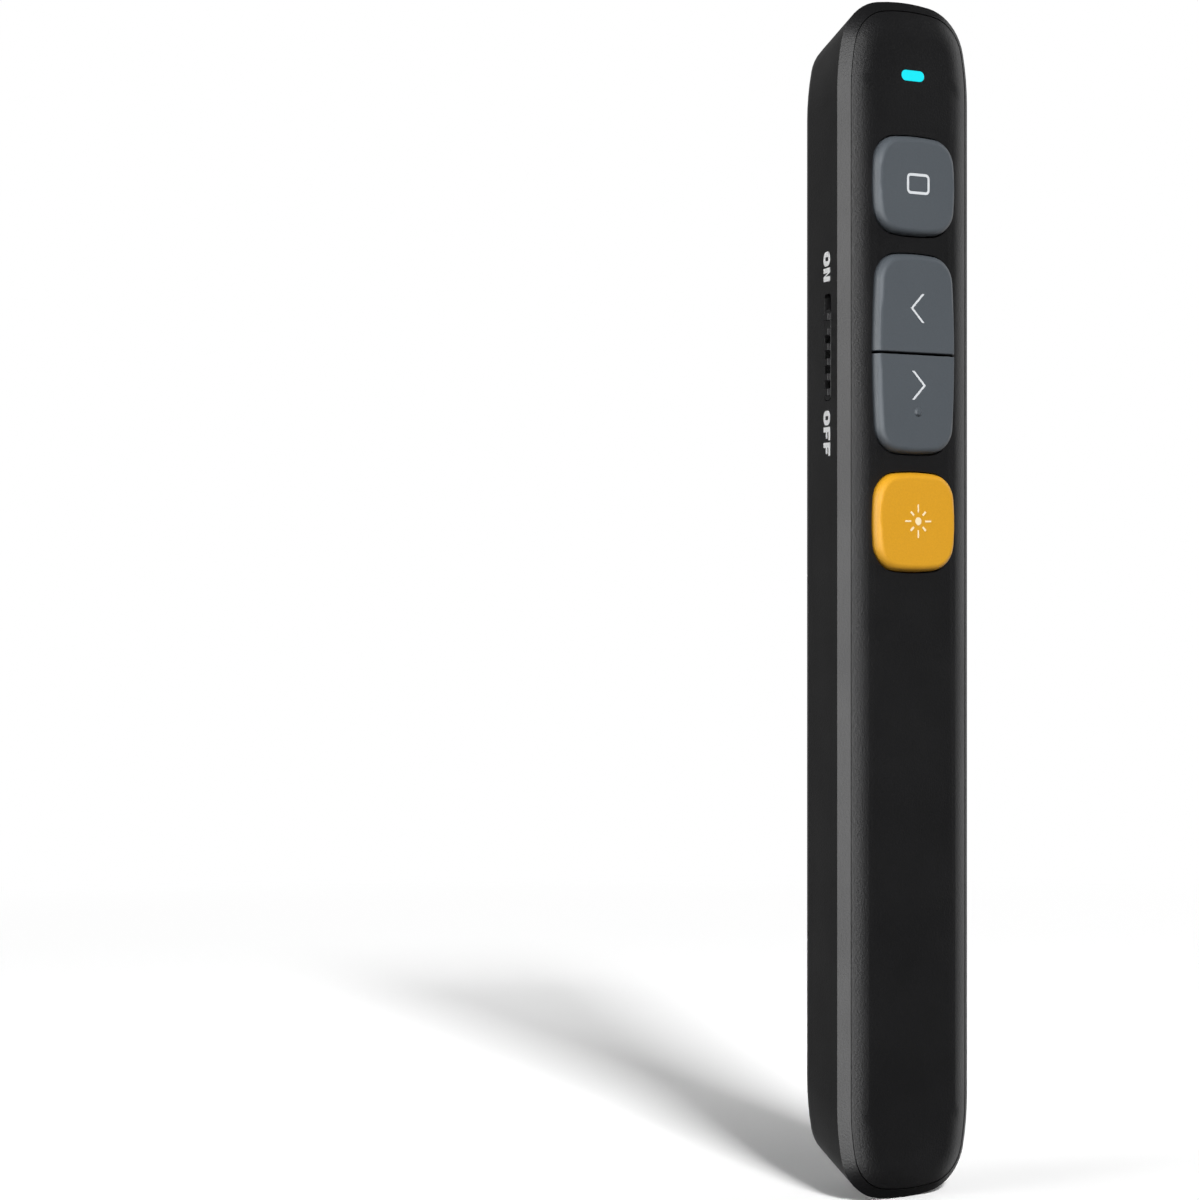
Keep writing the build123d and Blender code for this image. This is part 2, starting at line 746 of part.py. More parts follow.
# ---- Power switch -------------------------------------------------------------------------
# A ribbed knob in the left side's slot drives the lever of a slide switch on the board.
power_off_place = power_place - power_travel / 2
knob_length = power_slot_length - power_travel - 2 * seam_gap
knob_width = power_slot_width - 2 * seam_gap
knob_plate_depth = wall_normal + seam_gap
knob_plate_thickness = 0.6
knob_plate_length = knob_length + 4.0
knob_plate_width = 3.2
lever_length = 1.2
lever_width = 1.0
lever_height = side_height + (knob_plate_depth + knob_plate_thickness) * sin(radians(draft_angle))
lever_outer_x = side_x - knob_plate_depth * cos(radians(draft_angle)) + 0.2
lever_inner_x = board_width / 2 - 1.0

with BuildPart() as power_knob:
    with BuildSketch(side_plane(-1, power_off_place, knob_plate_depth)):
        RectangleRounded(knob_length, knob_width, power_slot_width / 4)
    extrude(amount=knob_plate_depth)
    with BuildSketch(side_plane(-1, power_off_place, knob_plate_depth)):
        Rectangle(knob_plate_length, knob_plate_width)
    extrude(amount=-knob_plate_thickness)
    rib_pitch = knob_length / power_rib_count
    with BuildSketch(side_plane(-1, power_off_place)):
        with GridLocations(rib_pitch, 1, power_rib_count, 1):
            Rectangle(rib_pitch * 0.45, knob_width - 0.4)
    extrude(amount=power_knob_rise)
    with BuildSketch(lengthwise(-lever_outer_x - fit_clearance)):
        with Locations((power_off_place, lever_height)):
            Rectangle(lever_length + 2 * fit_clearance, lever_width + 2 * fit_clearance)
    extrude(amount=lever_outer_x - lever_inner_x, mode=Mode.SUBTRACT)
power_knob.part.label = "power_knob"
export_step(power_knob.part, "parts/power_knob.step")

with BuildPart() as power_switch_lever:
    with BuildSketch(lengthwise(-lever_outer_x)):
        with Locations((power_off_place, lever_height)):
            Rectangle(lever_length, lever_width)
    extrude(amount=lever_outer_x - lever_inner_x)
power_switch_lever.part.label = "power_switch_lever"
export_step(power_switch_lever.part, "parts/power_switch_lever.step")

power_switch_length = 8.6
power_switch_depth = 3.0
with BuildPart() as power_switch:
    with BuildSketch(lengthwise(-board_width / 2)):
        with Locations((power_place, board_face + volume_switch_height / 2)):
            Rectangle(power_switch_length, volume_switch_height)
    extrude(amount=power_switch_depth)
    with BuildSketch(lengthwise(-board_width / 2)):
        with Locations((power_place, lever_height)):
            Rectangle(lever_length + power_travel + 2 * seam_gap, lever_width + 2 * seam_gap)
    extrude(amount=board_width / 2 - lever_inner_x + seam_gap, mode=Mode.SUBTRACT)
power_switch.part.label = "power_switch"
export_step(power_switch.part, "parts/power_switch.step")


# ---- Circuit board ------------------------------------------------------------------------
board_corner_radius = 1.6
board_clearance = 0.2
board_notch_depth = 0.5  # clears the volume key's trunnions
board_notch_length = 4.0
with BuildPart() as main_board:
    with BuildSketch(level(board_height)):
        add(outline((rim_height - board_height) * lean + wall + board_clearance))
        with Locations((0, (board_bottom + board_top) / 2)):
            RectangleRounded(board_width, board_top - board_bottom, board_corner_radius, mode=Mode.INTERSECT)
        with Locations((board_width / 2, volume_place)):
            Rectangle(2 * board_notch_depth, board_notch_length, mode=Mode.SUBTRACT)
        with Locations(*screw_spots):
            Circle(screw_diameter / 2 + 2 * fit_clearance, mode=Mode.SUBTRACT)
    extrude(amount=board_thickness)
main_board.part.label = "main_board"
export_step(main_board.part, "parts/main_board.step")

with BuildPart() as board_screws:
    with BuildSketch(level(board_face)):
        with Locations(*screw_spots):
            Circle(screw_head_diameter / 2)
    extrude(amount=screw_head_height)
    with BuildSketch(level(board_face)):
        with Locations(*screw_spots):
            Circle(screw_diameter / 2)
    extrude(amount=-(board_face - 2 * wall - 0.5))
board_screws.part.label = "board_screws"
export_step(board_screws.part, "parts/board_screws.step")

with BuildPart() as key_switches:
    switch_bore_floor = stem_base - plunger_length - key_travel - 0.1
    with BuildSketch(level(board_face)):
        for place in key_places.values():
            with Locations((0, place)):
                Rectangle(switch_size, switch_size)
    extrude(amount=switch_height)
    with BuildSketch(level(board_face)):
        for place in key_places.values():
            for x in (-switch_size / 2 + 0.6, switch_size / 2 - 0.6):
                with Locations((x, place)):
                    Rectangle(0.7, switch_size + 0.8)
    extrude(amount=0.2)
    with BuildSketch(level(switch_bore_floor)):
        for place in key_places.values():
            with Locations((0, place)):
                Rectangle(plunger_width + 2 * fit_clearance, plunger_width + 2 * fit_clearance)
    extrude(amount=switch_height, mode=Mode.SUBTRACT)
key_switches.part.label = "key_switches"
export_step(key_switches.part, "parts/key_switches.step")

chip_size = 4.0
chip_thickness = 0.9
chip_place = (blank_key_place + previous_key_place) / 2
with BuildPart() as radio_chip:
    with BuildSketch(level(board_face)):
        with Locations((0, chip_place)):
            Rectangle(chip_size, chip_size)
    extrude(amount=chip_thickness)
    chamfer(radio_chip.edges().group_by(Axis.Y)[0], length=0.15)
radio_chip.part.label = "radio_chip"
export_step(radio_chip.part, "parts/radio_chip.step")

crystal_offset = 5.0  # below the indicator
crystal_length = 3.2
crystal_width = 2.5
crystal_thickness = 0.8
with BuildPart() as crystal:
    with BuildSketch(level(board_face)):
        with Locations((0, lens_place - crystal_offset)):
            Rectangle(crystal_length, crystal_width)
    extrude(amount=crystal_thickness)
crystal.part.label = "crystal"
export_step(crystal.part, "parts/crystal.step")

with BuildPart() as status_led:
    with BuildSketch(level(board_face)):
        with Locations((0, lens_place)):
            Rectangle(1.6, 0.8)
    extrude(amount=0.6)
status_led.part.label = "status_led"
export_step(status_led.part, "parts/status_led.step")


# ---- Battery and contacts -----------------------------------------------------------------
can_radius = cell_diameter / 2 - sleeve_thickness - fit_clearance / 2
can_shoulder = 0.6

with BuildPart() as battery_cell:
    with BuildSketch(crosswise(cell_top - cell_nub_length)):
        with Locations((0, cell_height)):
            Circle(can_radius)
    extrude(amount=cell_length - cell_nub_length)
    chamfer(battery_cell.edges().filter_by(GeomType.CIRCLE), length=can_shoulder)
    with BuildSketch(crosswise(cell_top)):
        with Locations((0, cell_height)):
            Circle(cell_nub_diameter / 2)
    extrude(amount=cell_nub_length)
battery_cell.part.label = "battery_cell"
export_step(battery_cell.part, "parts/battery_cell.step")

with BuildPart() as battery_sleeve:
    with BuildSketch(crosswise(cell_top - cell_nub_length - can_shoulder)):
        with Locations((0, cell_height)):
            Circle(cell_diameter / 2)
            Circle(can_radius + fit_clearance / 2, mode=Mode.SUBTRACT)
    extrude(amount=cell_length - cell_nub_length - 2 * can_shoulder)
battery_sleeve.part.label = "battery_sleeve"
export_step(battery_sleeve.part, "parts/battery_sleeve.step")

leaf_thickness = 0.3
leaf_width = 5.0
leaf_reach = 3.2  # above and below the cell's axis
leaf_pad = 0.8
leaf_tip = cell_top + fit_clearance + leaf_thickness / 2
leaf_root = upper_partition - fit_clearance - leaf_thickness / 2
with BuildPart() as positive_contact:
    with BuildSketch(lengthwise(0)):
        with BuildLine():
            Polyline(
                (leaf_root, cell_height - leaf_reach),
                (leaf_root, cell_height + leaf_reach),
                (leaf_tip, cell_height + leaf_pad),
                (leaf_tip, cell_height - leaf_pad),
                (leaf_root - leaf_pad, cell_height - leaf_reach + 1.0),
            )
        trace(line_width=leaf_thickness)
    extrude(amount=leaf_width / 2, both=True)
positive_contact.part.label = "positive_contact"
export_step(positive_contact.part, "parts/positive_contact.step")

spring_plate_thickness = 0.3
spring_wire = 0.45
spring_turns = 2.5
spring_radius = cell_diameter / 2 - 1.25
spring_top = cell_bottom - fit_clearance
spring_base = lower_partition + fit_clearance + spring_plate_thickness
spring_height = spring_top - spring_base - spring_wire - fit_clearance
with BuildPart() as spring_plate:
    with BuildSketch(crosswise(spring_base)):
        with Locations((0, cell_height + 0.4)):
            Rectangle(cell_diameter - 0.7, cell_diameter - 1.9)
    extrude(amount=spring_plate_thickness)
spring_plate.part.label = "spring_plate"
export_step(spring_plate.part, "parts/spring_plate.step")

with BuildPart() as battery_spring:
    with BuildLine():
        coil = Helix(
            pitch=spring_height / spring_turns,
            height=spring_height,
            radius=spring_radius,
            center=(0, back_y - cell_height, middle_z + spring_base + spring_wire / 2 + fit_clearance / 2),
            direction=(0, 0, 1),
        )
    with BuildSketch(Plane(origin=coil @ 0, z_dir=coil % 0)):
        Rectangle(spring_wire, spring_wire)
    sweep(is_frenet=True)
battery_spring.part.label = "battery_spring"
export_step(battery_spring.part, "parts/battery_spring.step")

strap_start = lower_partition + fit_clearance
strap_end = board_bottom + 3.0
with BuildPart() as negative_strap:
    with BuildSketch(lengthwise(-strap_x)):
        with Locations(((strap_start + strap_end) / 2, strap_height)):
            Rectangle(strap_end - strap_start, strap_width)
    extrude(amount=strap_thickness)
negative_strap.part.label = "negative_strap"
export_step(negative_strap.part, "parts/negative_strap.step")


# ---- Battery door and its latch -----------------------------------------------------------
cradle_clearance = 0.25
cradle_count = 3
cradle_spacing = 16.0
cradle_thickness = 1.0
rail_inner_x = 2.65
rail_thickness = 0.6
rail_lip = 0.45
rail_height = 2.0
rail_lip_height = 0.5
rail_end = door_top - 2.5
rail_length = 1.8
latch_plate_thickness = 0.8
latch_plate_bottom = door_top - 4.2
latch_thumb_length = latch_depth - latch_travel - door_gap
door_edge_top = door_top - door_gap
door_edge_bottom = door_bottom + door_gap
latch_top = door_edge_top - fit_clearance

with BuildPart() as battery_door:
    add(casing)
    with BuildSketch(level(door_side_height - door_gap)):
        add(door_shape(door_gap))
    extrude(amount=-body_depth, mode=Mode.INTERSECT)
    add(cavity, mode=Mode.SUBTRACT)
    # The window that the latch shows through
    with BuildSketch(level(wall * 2)):
        with Locations((0, door_edge_top - latch_depth / 2)):
            Rectangle(latch_width, latch_depth)
    extrude(amount=-body_depth, mode=Mode.SUBTRACT)
    # Two hooks that reach under the housing at the lower end
    hook_low = wall + fit_clearance
    hook_root = 0.4
    for x in (-hook_spacing / 2, hook_spacing / 2):
        with BuildSketch(lengthwise(x)):
            with BuildLine():
                Polyline(
                    (door_edge_bottom - hook_reach, hook_low),
                    (door_edge_bottom + hook_root, hook_low),
                    (door_edge_bottom + hook_root, wall / 2),
                    (door_edge_bottom + hook_reach, wall / 2),
                    (door_edge_bottom + hook_reach, hook_low + hook_thickness),
                    (door_edge_bottom - hook_reach, hook_low + hook_thickness),
                    close=True,
                )
            make_face()
        extrude(amount=hook_width / 2, both=True)
    # Ribs that cradle the cell
    for count in range(cradle_count):
        place = (cell_top + cell_bottom) / 2 + (count - (cradle_count - 1) / 2) * cradle_spacing
        with BuildSketch(crosswise(place)):
            with Locations((0, door_side_height / 2 + wall / 4)):
                Rectangle(2 * (door_half_width - 2.6), door_side_height - wall / 2)
            with Locations((0, cell_height)):
                Circle(cell_diameter / 2 + cradle_clearance, mode=Mode.SUBTRACT)
            with Locations((0, 0)):
                Rectangle(body_width, wall, mode=Mode.SUBTRACT)
        extrude(amount=cradle_thickness)
    # Rails that guide the latch
    for side in (-1, 1):
        with BuildSketch(crosswise(rail_end)):
            with Locations((side * (rail_inner_x + rail_thickness / 2), wall + 0.5)):
                Rectangle(rail_thickness, rail_height)
            with Locations((side * (rail_inner_x + (rail_thickness - rail_lip) / 2), wall + 1.25)):
                Rectangle(rail_thickness + rail_lip, rail_lip_height)
        extrude(amount=rail_length)
battery_door.part.label = "battery_door"
export_step(battery_door.part, "parts/battery_door.step")

with BuildPart() as door_latch:
    with BuildSketch(level(wall + fit_clearance)):
        with Locations((0, (latch_top + latch_plate_bottom) / 2)):
            Rectangle(2 * (rail_inner_x - seam_gap), latch_top - latch_plate_bottom)
    extrude(amount=latch_plate_thickness)
    with BuildSketch(level(wall + fit_clearance)):
        with Locations((0, latch_top - latch_thumb_length / 2)):
            Rectangle(latch_width - 2 * seam_gap, latch_thumb_length)
    extrude(amount=-(wall + fit_clearance - 0.25))
door_latch.part.label = "door_latch"
export_step(door_latch.part, "parts/door_latch.step")


# ---- USB receiver -------------------------------------------------------------------------
# A short cap that ends flush with the casing, carrying a USB-A plug up inside the bay.
plug_seat = 1.5
plug_root = -plug_place - plug_seat
plug_tip = -plug_bay_end - receiver_gap
tongue_thickness = 1.9
detent_spacing = 5.0
detent_width = 2.0
detent_length = 2.2
contact_pitch = 2.3
contact_width = 1.0
contact_length = 7.5
with BuildPart() as receiver_cap:
    with BuildSketch(crosswise(-plug_place)):
        with Locations((0, receiver_height)):
            SlotOverall(receiver_cap_width, receiver_cap_height)
    extrude(amount=body_length / 2)
    add(casing, mode=Mode.INTERSECT)
    with BuildSketch(crosswise(plug_root)):
        with Locations((0, receiver_height)):
            Rectangle(plug_width, plug_height)
    extrude(amount=-2 * plug_seat, mode=Mode.SUBTRACT)
receiver_cap.part.label = "receiver_cap"
export_step(receiver_cap.part, "parts/receiver_cap.step")

with BuildPart() as receiver_shell:
    with BuildSketch(crosswise(plug_root)):
        with Locations((0, receiver_height)):
            RectangleRounded(plug_width, plug_height, 0.5)
            Rectangle(plug_width - 2 * plug_wall, plug_height - 2 * plug_wall, mode=Mode.SUBTRACT)
    extrude(amount=-(plug_tip - plug_root))
    with BuildSketch(level(receiver_height + plug_height)):
        with Locations((-detent_spacing / 2, plug_tip - 5.0), (detent_spacing / 2, plug_tip - 5.0)):
            Rectangle(detent_width, detent_length)
    extrude(amount=-plug_height, mode=Mode.SUBTRACT)
receiver_shell.part.label = "receiver_shell"
export_step(receiver_shell.part, "parts/receiver_shell.step")

tongue_floor = receiver_height - plug_height / 2 + plug_wall
with BuildPart() as receiver_tongue:
    with BuildSketch(crosswise(plug_root)):
        with Locations((0, tongue_floor + tongue_thickness / 2)):
            Rectangle(plug_width - 2 * plug_wall, tongue_thickness)
    extrude(amount=-(plug_tip - plug_root - 0.5))
receiver_tongue.part.label = "receiver_tongue"
export_step(receiver_tongue.part, "parts/receiver_tongue.step")

with BuildPart() as receiver_contacts:
    with BuildSketch(level(tongue_floor + tongue_thickness)):
        with Locations((0, plug_tip - 1.75 - contact_length / 2)):
            with GridLocations(contact_pitch, 1, 4, 1):
                Rectangle(contact_width, contact_length)
    extrude(amount=0.15)
receiver_contacts.part.label = "receiver_contacts"
export_step(receiver_contacts.part, "parts/receiver_contacts.step")
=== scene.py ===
"""Looks of a wireless presentation clicker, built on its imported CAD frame.

The clicker stands on its lower end: X runs across it, -Y out of its key face and Z up to its
laser end.  Its prints are drawn in millimetres; their places come from the frame, in metres.
"""

from math import cos, pi, radians, sin

import bmesh
import bpy
from mathutils import Matrix, Vector
from mathutils.bvhtree import BVHTree


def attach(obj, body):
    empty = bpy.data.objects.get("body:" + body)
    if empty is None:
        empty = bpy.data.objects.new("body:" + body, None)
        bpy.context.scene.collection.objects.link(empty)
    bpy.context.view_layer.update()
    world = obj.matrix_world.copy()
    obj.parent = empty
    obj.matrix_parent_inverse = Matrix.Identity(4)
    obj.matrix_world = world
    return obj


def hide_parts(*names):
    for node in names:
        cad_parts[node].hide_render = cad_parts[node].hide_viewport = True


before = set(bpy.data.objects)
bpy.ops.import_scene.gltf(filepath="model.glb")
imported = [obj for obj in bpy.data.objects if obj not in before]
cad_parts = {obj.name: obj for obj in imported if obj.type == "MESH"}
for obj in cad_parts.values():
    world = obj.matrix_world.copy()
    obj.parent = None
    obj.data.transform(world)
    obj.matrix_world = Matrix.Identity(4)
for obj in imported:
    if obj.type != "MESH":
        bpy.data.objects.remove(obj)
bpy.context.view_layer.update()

# ---- Camera -------------------------------------------------------------------------------
# A long lens at half the clicker's height, off to its left, so that the key face and the
# power switch's side both show.  The clicker stands to the right of the picture's middle.
eye_level = 0.0725
camera_place = (-0.2484, -0.3109, eye_level)
camera_turn = radians(33.68)
camera_data = bpy.data.cameras.new("camera")
camera_data.lens = 97.0
camera_data.sensor_width = 36.0
camera = bpy.data.objects.new("camera", camera_data)
camera.location = camera_place
camera.rotation_euler = (pi / 2, 0, -camera_turn)
bpy.context.collection.objects.link(camera)
bpy.context.scene.camera = camera
bpy.context.scene.view_settings.view_transform = "Standard"


# ---- Studio -------------------------------------------------------------------------------
# White paper under the clicker and white all round.  A lamp high in front casts the shadow and
# two fills soften it; three tall softboxes show only as reflections, down the long edges.
def linear(colour):
    """The linear RGB of an sRGB hex colour."""
    channels = [int(colour[i : i + 2], 16) / 255 for i in (1, 3, 5)]
    rgb = [c / 12.92 if c <= 0.04045 else ((c + 0.055) / 1.055) ** 2.4 for c in channels]
    return rgb + [1.0]


def add_node(tree, kind, settings=None, links=None, **inputs):
    """One shader node: its settings, its inputs' values, and the sockets linked into it."""
    node = tree.nodes.new(kind)
    for name, value in (settings or {}).items():
        setattr(node, name, value)
    for name, value in inputs.items():
        node.inputs[name.replace("_", " ")].default_value = value
    for name, socket in (links or {}).items():
        tree.links.new(socket, node.inputs[name])
    return node


def new_material(name):
    """A material with an empty node tree, and that tree."""
    material = bpy.data.materials.new(name)
    material.use_nodes = True
    material.node_tree.nodes.clear()
    return material, material.node_tree


# The paper fades to plain white at a distance.  Near the clicker it carries a faint painted
# glow that keeps it white where it is lit; the glow is left out close in, which paints a deeper
# shadow round the foot.  Diffuse rays see it dull, and glossy ones miss it.  Distances are in
# metres from the clicker's foot.
fade_start, fade_end = 0.22, 0.45
glow_start, glow_end = 0.025, 0.080
least_glow, most_glow = 0.01, 0.15

paper, tree = new_material("white_seamless_paper")
rays = add_node(tree, "ShaderNodeLightPath")
place = add_node(tree, "ShaderNodeTexCoord")
distance = add_node(
    tree, "ShaderNodeVectorMath", {"operation": "LENGTH"}, {0: place.outputs["Object"]}
)
fade = add_node(
    tree,
    "ShaderNodeMapRange",
    links={"Value": distance.outputs["Value"]},
    From_Min=fade_start,
    From_Max=fade_end,
)
matt = add_node(tree, "ShaderNodeBsdfDiffuse", Color=linear("#FCFCFC"))
# Painted light: the paper's glow is weakest at the foot, a painted deepening of the shadow
# there
painted_glow_ramp = add_node(
    tree,
    "ShaderNodeMapRange",
    links={"Value": distance.outputs["Value"]},
    From_Min=glow_start,
    From_Max=glow_end,
    To_Min=least_glow,
    To_Max=most_glow,
)
glow = add_node(
    tree, "ShaderNodeEmission", links={"Strength": painted_glow_ramp.outputs[0]}, Color=(1, 1, 1, 1)
)
lifted = add_node(tree, "ShaderNodeAddShader", links={0: matt.outputs[0], 1: glow.outputs[0]})
white = add_node(tree, "ShaderNodeEmission", Color=(1, 1, 1, 1), Strength=1.0)
far = add_node(
    tree,
    "ShaderNodeMixShader",
    links={0: fade.outputs[0], 1: lifted.outputs[0], 2: white.outputs[0]},
)
dull = add_node(tree, "ShaderNodeBsdfDiffuse", Color=linear("#808080"))
seen = add_node(
    tree,
    "ShaderNodeMath",
    {"operation": "MAXIMUM"},
    {0: rays.outputs["Is Camera Ray"], 1: rays.outputs["Is Transmission Ray"]},
)
shown = add_node(
    tree,
    "ShaderNodeMixShader",
    links={0: seen.outputs[0], 1: dull.outputs[0], 2: far.outputs[0]},
)
add_node(tree, "ShaderNodeOutputMaterial", links={"Surface": shown.outputs[0]})

floor_half = 2.0
floor_mesh = bpy.data.meshes.new("floor")
shape = bmesh.new()
bmesh.ops.create_grid(shape, x_segments=1, y_segments=1, size=floor_half)
shape.to_mesh(floor_mesh)
shape.free()
floor = bpy.data.objects.new("floor", floor_mesh)
floor.data.materials.append(paper)
floor.visible_glossy = False
bpy.context.collection.objects.link(floor)

# Matt surfaces are lit from above more than from below; glossy ones see a dim room, and the
# camera sees white.
low_ambient, high_ambient = 0.02, 0.22
room_light = 0.03
world = bpy.data.worlds.new("studio")
bpy.context.scene.world = world
world.use_nodes = True
tree = world.node_tree
tree.nodes.clear()
rays = add_node(tree, "ShaderNodeLightPath")
direction = add_node(tree, "ShaderNodeTexCoord")
parts = add_node(tree, "ShaderNodeSeparateXYZ", links={0: direction.outputs["Generated"]})
height = add_node(
    tree,
    "ShaderNodeMapRange",
    links={"Value": parts.outputs["Z"]},
    To_Min=low_ambient,
    To_Max=high_ambient,
)
ambient = add_node(
    tree, "ShaderNodeBackground", links={"Strength": height.outputs[0]}, Color=(1, 1, 1, 1)
)
room = add_node(tree, "ShaderNodeBackground", Color=(1, 1, 1, 1), Strength=room_light)
backdrop = add_node(tree, "ShaderNodeBackground", Color=(1, 1, 1, 1), Strength=1.0)
mirrored = add_node(
    tree,
    "ShaderNodeMixShader",
    links={0: rays.outputs["Is Glossy Ray"], 1: ambient.outputs[0], 2: room.outputs[0]},
)
seen = add_node(
    tree,
    "ShaderNodeMath",
    {"operation": "MAXIMUM"},
    {0: rays.outputs["Is Camera Ray"], 1: rays.outputs["Is Transmission Ray"]},
)
shown = add_node(
    tree,
    "ShaderNodeMixShader",
    links={0: seen.outputs[0], 1: mirrored.outputs[0], 2: backdrop.outputs[0]},
)
add_node(tree, "ShaderNodeOutputWorld", links={"Surface": shown.outputs[0]})

# Each lamp's name, place, width and height in metres, watts, and whether it lights matt
# surfaces and whether it shows in glossy ones
lamps = (
    ("key_lamp", (-0.55, -1.61, 1.13), 0.34, 0.34, 55.0, True, False),
    ("left_softbox", (-0.69, -0.95, eye_level), 1.30, 1.60, 28.0, False, True),
    ("right_softbox", (1.19, 0.02, eye_level), 1.00, 1.60, 6.2, False, True),
    ("back_softbox", (0.31, 1.16, eye_level), 0.80, 1.60, 0.8, False, True),
    ("side_fill", (-1.20, 0.10, 0.12), 0.50, 0.80, 12.0, True, True),
    ("back_fill", (1.00, 0.85, eye_level), 0.60, 0.80, 12.0, True, False),
)
for name, location, width, height, power, lights, shines in lamps:
    lamp = bpy.data.lights.new(name, "AREA")
    lamp.shape = "RECTANGLE"
    lamp.size = width
    lamp.size_y = height
    lamp.energy = power
    lamp_object = bpy.data.objects.new(name, lamp)
    lamp_object.location = location
    lamp_object.visible_diffuse = lights
    lamp_object.visible_glossy = shines
    aim = Vector((0, 0, eye_level)) - lamp_object.location
    lamp_object.rotation_euler = aim.to_track_quat("-Z", "Y").to_euler()
    bpy.context.collection.objects.link(lamp_object)


# ---- Rear housing -------------------------------------------------------------------------
# Injection-moulded black ABS: a tub with leaning sides and a slanted band round its open face.
# The tool's fine spark-eroded grain gives it a satin, slightly uneven sheen.
mm = 0.001
joined_within = 0.002 * mm
flat_within = radians(0.2)
smooth_below = radians(32)
broken_above = radians(40)


def merged_copy(node, name, edge=0.06):
    """A CAD node's copy: triangles joined up, crisp edges broken, curves shaded smooth."""
    shape = bmesh.new()
    shape.from_mesh(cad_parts[node].data)
    bmesh.ops.remove_doubles(shape, verts=shape.verts, dist=joined_within)
    bmesh.ops.dissolve_limit(
        shape, angle_limit=flat_within, verts=shape.verts, edges=shape.edges
    )
    mesh = bpy.data.meshes.new(name)
    for face in shape.faces:
        face.smooth = True
    for side in shape.edges:
        side.smooth = side.calc_face_angle(0) < smooth_below
    shape.to_mesh(mesh)
    shape.free()
    piece = bpy.data.objects.new(name, mesh)
    bpy.context.collection.objects.link(piece)
    if edge:
        breaker = piece.modifiers.new("edge_break", "BEVEL")
        breaker.width = edge * mm
        breaker.segments = 2
        breaker.limit_method = "ANGLE"
        breaker.angle_limit = broken_above
        breaker.miter_outer = "MITER_ARC"
    piece.modifiers.new("normals", "WEIGHTED_NORMAL").keep_sharp = True
    return piece


def moulded_plastic(name, colour, rough, grain, grain_depth, ior=1.53):
    """Moulded plastic: grain of a size in mm, a sheen that wanders, a slight drift of tone."""
    patches_per_metre, sheen_drift, tone_drift = 90.0, 0.035, 0.12
    material, tree = new_material(name)
    place = add_node(tree, "ShaderNodeTexCoord")
    fine = add_node(
        tree,
        "ShaderNodeTexNoise",
        links={"Vector": place.outputs["Object"]},
        Scale=1 / (grain * mm),
        Detail=3.0,
        Roughness=0.6,
    )
    broad = add_node(
        tree,
        "ShaderNodeTexNoise",
        links={"Vector": place.outputs["Object"]},
        Scale=patches_per_metre,
        Detail=2.0,
    )
    sheen = add_node(
        tree,
        "ShaderNodeMapRange",
        links={"Value": broad.outputs[0]},
        From_Min=0.3,
        From_Max=0.7,
        To_Min=rough - sheen_drift,
        To_Max=rough + sheen_drift,
    )
    base = linear(colour)
    tone = add_node(
        tree,
        "ShaderNodeMix",
        {"data_type": "RGBA"},
        {0: fine.outputs[0]},
        A=[c * (1 - tone_drift) for c in base[:3]] + [1],
        B=[c * (1 + tone_drift) for c in base[:3]] + [1],
    )
    bump = add_node(
        tree,
        "ShaderNodeBump",
        links={"Height": fine.outputs[0]},
        Strength=0.8,
        Distance=grain_depth * mm,
    )
    plastic = add_node(
        tree,
        "ShaderNodeBsdfPrincipled",
        links={
            "Base Color": tone.outputs["Result"],
            "Roughness": sheen.outputs[0],
            "Normal": bump.outputs[0],
        },
        IOR=ior,
    )
    add_node(tree, "ShaderNodeOutputMaterial", links={"Surface": plastic.outputs[0]})
    return material


# The real grain is about 0.05 mm; it is drawn five times as coarse so that it shows at all
black_abs = moulded_plastic("spark_eroded_black_abs", "#111112", 0.40, 0.26, 0.040)
housing = merged_copy("rear_housing", "housing")
housing.data.materials.append(black_abs)
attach(housing, "casing")
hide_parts("rear_housing")

# ---- Front cover --------------------------------------------------------------------------
# A plate of the same black ABS, rolled down at its edge and snapped into the housing's rim, so
# that a fine dark line runs round it.
cover = merged_copy("front_cover", "cover")
cover.data.materials.append(black_abs)
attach(cover, "casing")
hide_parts("front_cover")

# ---- Keys ---------------------------------------------------------------------------------
# Pillow-shaped caps of painted ABS with a soft-touch lacquer, three grey and one yellow, each
# with its sign pad-printed on it.  The lacquer levels out, so they look flatter and more even
# than the case; its grain of 0.02 mm is drawn ten times as coarse.
grey_lacquer = moulded_plastic("soft_touch_grey_lacquer", "#464B50", 0.52, 0.22, 0.006)
yellow_lacquer = moulded_plastic("soft_touch_yellow_lacquer", "#C58E19", 0.50, 0.22, 0.006)
keys = (
    ("blank_screen_key", "blank_key", grey_lacquer, "grey_plastic"),
    ("previous_key", "previous_page_key", grey_lacquer, "grey_plastic"),
    ("next_key", "next_page_key", grey_lacquer, "grey_plastic"),
    ("laser_key", "laser_button", yellow_lacquer, "yellow_plastic"),
)
for node, body, lacquer, slot in keys:
    cap = merged_copy(node, f"{node}_cap", 0.12)
    cap.data.materials.append(lacquer)
    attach(cap, body)
    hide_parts(node)

# Pad-print ink dries to a thin, slightly matt layer
ink_thickness = 0.02
grey_ink = moulded_plastic("light_grey_pad_print_ink", "#C4C7CA", 0.55, 0.10, 0.002)
white_ink = moulded_plastic("white_pad_print_ink", "#F6F6F6", 0.55, 0.10, 0.002)
cream_ink = moulded_plastic("cream_pad_print_ink", "#E4D2AC", 0.55, 0.10, 0.002)


def corners(node):
    """The lowest and the highest corner of a CAD node's box, in metres."""
    points = [vertex.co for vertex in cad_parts[node].data.vertices]
    low = Vector([min(point[axis] for point in points) for axis in range(3)])
    high = Vector([max(point[axis] for point in points) for axis in range(3)])
    return low, high


